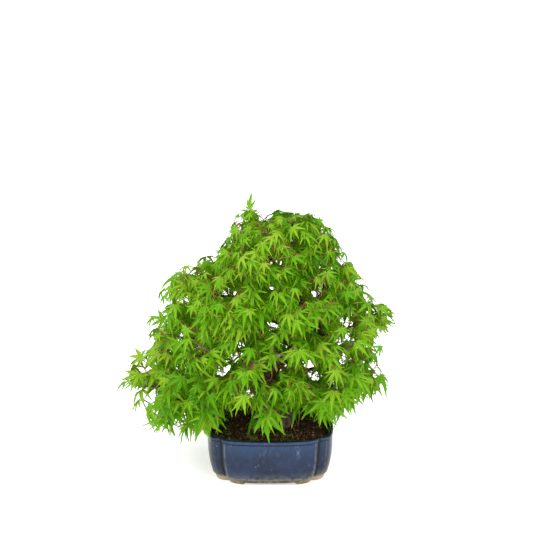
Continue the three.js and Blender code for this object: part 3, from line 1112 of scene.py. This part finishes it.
def addRun(run, branching, radii, boughs, twigs):
    # one tube of wood, put with the barked boughs or with the twigs
    places = [branching.places[i] for i in run]
    sizes = [radii[i] for i in run]
    if run[0] == 0:
        sizes = [r * (1 + growth["collar"] * math.exp(-i / 1.2)) for i, r in enumerate(sizes)]
    else:
        sizes[0] = min(sizes[0], sizes[1] * 1.25)
    thick = max(sizes) > growth["thick"]
    heap = boughs if thick else twigs
    if thick:
        places = smoothLine(places, len(places) * 2)
        sizes = np.interp(np.linspace(0, len(run) - 1, len(places)), range(len(run)), sizes)

    def size(k, a):
        return sizes[k] + (barkRelief(a, k * 2.0 + heap.count, 0.14 * sizes[k]) if thick else 0)

    heap.add(*tube(places, size, 10 if thick else 4))


def growMass(rnd, name, masses, taken, boughs, twigs):
    # one mass's limb, twigs and leaves; returns its spray tips and how many leaves it has
    points, tree = masses[name]
    others = [masses[other][1] for other in masses if other != name]
    centre = (points.min(0) + points.max(0)) / 2
    young = name == "leader"
    line = limbInto(name, centre, points)
    count = len(line)
    branching = Branching(line)
    tips = [] if young else spreadTips(rnd, points, tree, centre, others, taken)
    if young:
        branching.tips = list(range(count - 7, count - 2))
    for tip in sorted(tips, key=lambda p: np.linalg.norm(p - line[-1])):
        branching.reachFor(rnd, tip, int(count * 0.45))
    foliage = Foliage()
    leafy = []
    for tip in branching.tips:
        p = branching.places[tip]
        # painted light: sprays towards the crown's edge and top count as outer and get paler greens
        outer = np.clip(np.linalg.norm(p[:2] - crown["axis"]) / 110 + (p[2] - 120) / 400, 0, 1)
        leafy.append(addSpray(rnd, foliage, branching, tip, centre, outer, young))
    branching.tips = [tip for tip in leafy if tip is not None]
    foot = limbs.get(name.split("_")[0], (0, 0, 1.3))[2]
    taper = growth["limbTaper"] / count
    radii = branching.radii(lambda i: foot * (1 - taper * i) if i < count * 0.75 else 0)
    if young:
        crownLeader(rnd, foliage, branching.places[-1])
    makePiece("leaves_" + name, foliage, leafFinishes, replaces=["foliage_" + name])
    for run in branching.chains(radii, count if young else int(count * 0.5)):
        if len(run) > 1:
            addRun(run, branching, radii, boughs, twigs)
    return tips, foliage.leaves


def growCrown():
    rnd = random.Random(growth["seed"])
    names = sorted(n[8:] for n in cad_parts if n.startswith("foliage_"))
    masses = {name: massMesh(name) for name in names}
    boughs, wood = Heap(), {}
    leafCount = 0
    taken = np.empty((0, 3))
    for name in names:
        tier = name.split("_")[0]
        twigs = wood.setdefault(tier if tier in limbs else "top", Heap())
        tips, leaves = growMass(rnd, name, masses, taken, boughs, twigs)
        taken = np.vstack([taken, *[p[None] for p in tips]])
        leafCount += leaves
    replaced = [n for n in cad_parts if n.startswith("bough_")]
    makePiece("barkedBoughs", boughs, [barkFinish], replaces=replaced)
    for tier, twigs in wood.items():
        makePiece("twigs_" + tier, twigs, [twigFinish])
    print("crown grown with", leafCount, "leaves")


growCrown()

bare = {
    "count": 11,
    "from": ((-6, 24), (-16, -4), (84, 102)),  # the ranges of x, y and z that they start in
    "to": ((-34, 38), (-46, -24), (59, 70)),
    "radius": 0.42,
    "colours": (rgb("a9745a"), rgb("6b4230")),
    "seed": 8,
}


def makeBareTwigs():
    # leafless twigs under the crown, above the soil
    rnd = random.Random(bare["seed"])

    def look(place):
        fine = place.noisy(0.8, 3, 0.5, (1, 1, 0.5))
        colour = fine.ranged(0.35, 0.65).mixed(*bare["colours"])
        return {"Base_Color": colour, "Roughness": 0.6 + fine * 0.2, "Normal": bumped(fine, 0.15)}

    heap = Heap()
    for _ in range(bare["count"]):
        start, end = [np.array([rnd.uniform(*r) for r in bare[key]]) for key in ("from", "to")]
        start[0] = start[0] * 0.5 + (end[0] + 4) * 0.5
        middle = (start + end) / 2 + np.array([rnd.gauss(0, 3), -4, rnd.uniform(0, 5)])
        line = smoothLine([start, middle, end], 12)
        heap.add(*tube(line, lambda k, a: bare["radius"] * (1.25 - k * 0.06), 5))
    makePiece("bareTwigs", heap, [newMaterial("bareTwigBark", look)])


makeBareTwigs()
print("bare twigs made")

studio = {
    "floor": rgb("f4f4f2"),
    "floorReach": 6,  # metres
    "table": 0.42,  # light from the floor itself
    "world": 1.05,
    "key": (34, (-1000, -800, 1900), 1.3),  # watts, place in mm, size in metres
    "fill": (12, (1300, -900, 900), 1.6),
    "aim": (0, 0, 170),
}
view = {"lens": 120.8, "tilt": 70.03, "place": (-4.3, -1984.4, 980.8)}


def makeStudio():
    mesh = bpy.data.meshes.new("floor")
    r = studio["floorReach"]
    mesh.from_pydata([(-r, -r, 0), (r, -r, 0), (r, r, 0), (-r, r, 0)], [], [(0, 1, 2, 3)])
    light = {"Emission_Color": (1, 1, 1, 1), "Emission_Strength": studio["table"]}
    mesh.materials.append(newMaterial("paleFloor", Base_Color=studio["floor"], Roughness=0.9, **light))
    inScene("floor", mesh)
    world = bpy.data.worlds.new("studio")
    world.use_nodes = True
    world.node_tree.nodes["Background"].inputs[0].default_value = (1, 1, 1, 1)
    world.node_tree.nodes["Background"].inputs[1].default_value = studio["world"]
    bpy.context.scene.world = world
    aim = Vector(potAxis + np.array(studio["aim"]) * mm)
    for name in ("key", "fill"):
        watts, place, size = studio[name]
        light = bpy.data.lights.new(name, "AREA")
        light.energy = watts
        light.size = size
        lamp = inScene(name, light, potAxis + np.array(place) * mm)
        lamp.rotation_euler = (aim - lamp.location).to_track_quat("-Z", "Y").to_euler()
    camera = inScene("camera", bpy.data.cameras.new("camera"), potAxis + np.array(view["place"]) * mm)
    camera.data.lens = view["lens"]
    camera.data.sensor_width = 36
    camera.rotation_euler = (math.radians(view["tilt"]), 0, 0)
    bpy.context.scene.camera = camera
    bpy.context.scene.view_settings.view_transform = "Standard"


makeStudio()
print("studio made")
